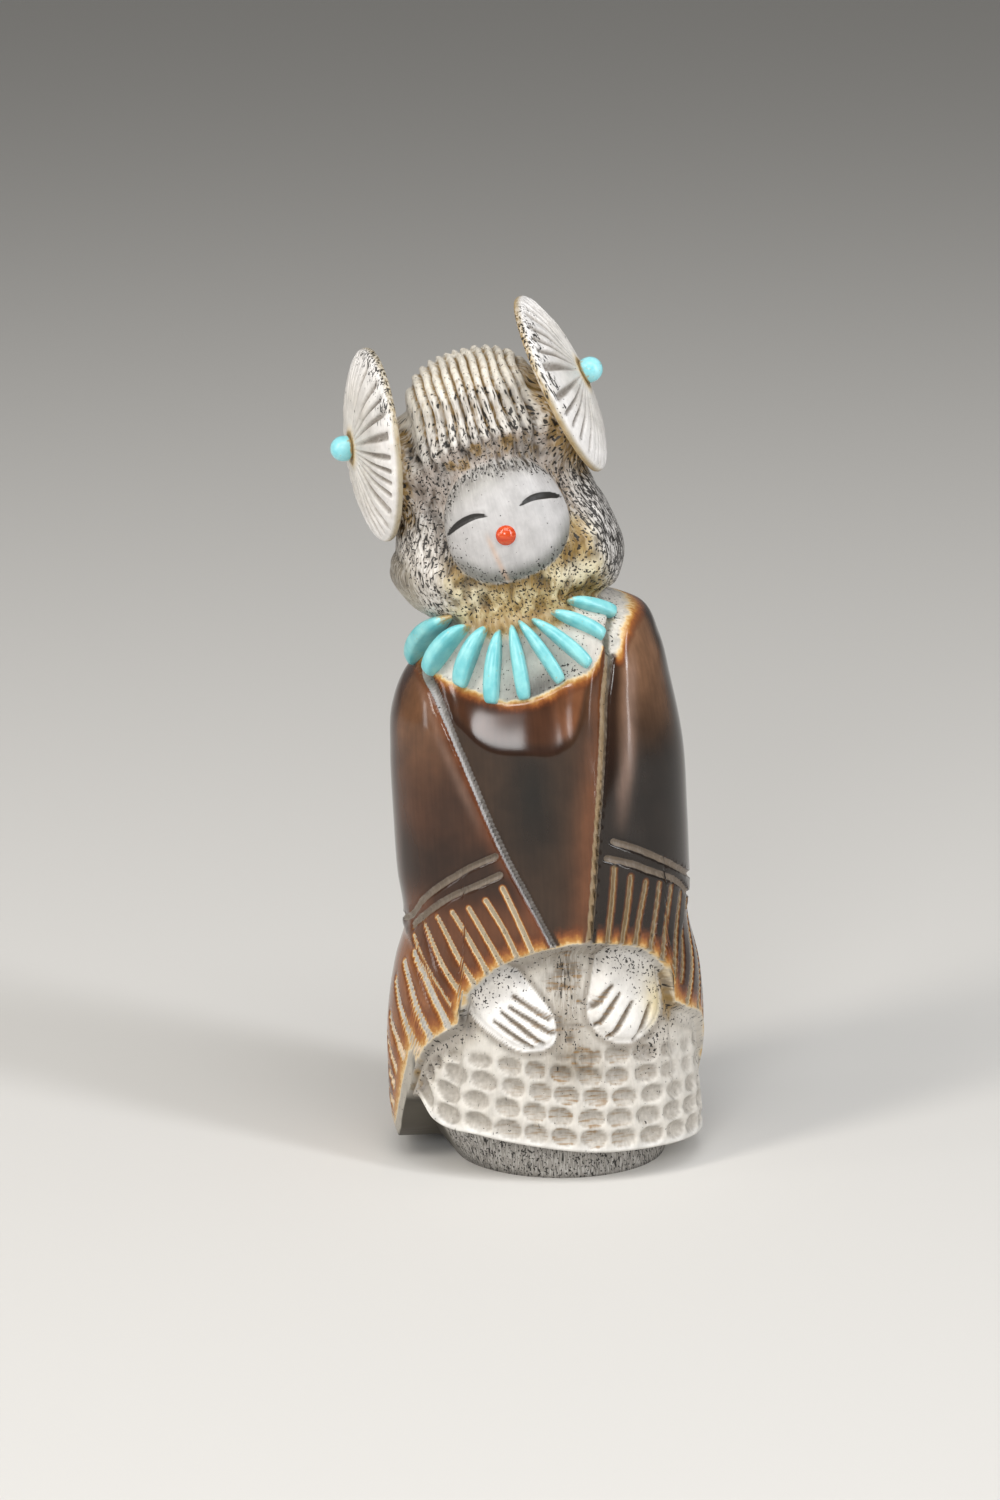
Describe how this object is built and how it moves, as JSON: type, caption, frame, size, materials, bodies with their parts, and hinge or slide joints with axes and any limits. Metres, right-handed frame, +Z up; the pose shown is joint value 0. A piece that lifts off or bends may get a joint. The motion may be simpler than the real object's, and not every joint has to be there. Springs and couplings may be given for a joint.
{
  "type": "carved antler corn maiden figure",
  "caption": "Small standing figure carved from one piece of antler, with glued hair discs, stone beads and inlaid necklace",
  "frame": {"origin": "on the cut base, under the middle of the antler column, at the level of the surface it stands on", "axes": "+Z is up, -Y is the way the figure faces, +X is the viewer's right"},
  "size_m": [0.051, 0.0351, 0.1187],
  "materials": {
    "polished_antler": "antler: bark polished to a dark brown gloss, cut away to pale bone",
    "carved_antler": "pale antler, carved and sanded",
    "turquoise": "turquoise stone, sanded to a soft gloss",
    "coral": "red coral, polished"
  },
  "bodies": {
    "root": {"antler_figure": "polished_antler", "hair_whorl_left": "carved_antler", "hair_whorl_right": "carved_antler", "whorl_bead_left": "turquoise", "whorl_bead_right": "turquoise", "coral_mouth": "coral", "necklace_tab_1": "turquoise", "necklace_tab_2": "turquoise", "necklace_tab_3": "turquoise", "necklace_tab_4": "turquoise", "necklace_tab_5": "turquoise", "necklace_tab_6": "turquoise", "necklace_tab_7": "turquoise", "necklace_tab_8": "turquoise", "necklace_tab_9": "turquoise"}
  },
  "joints": []
}
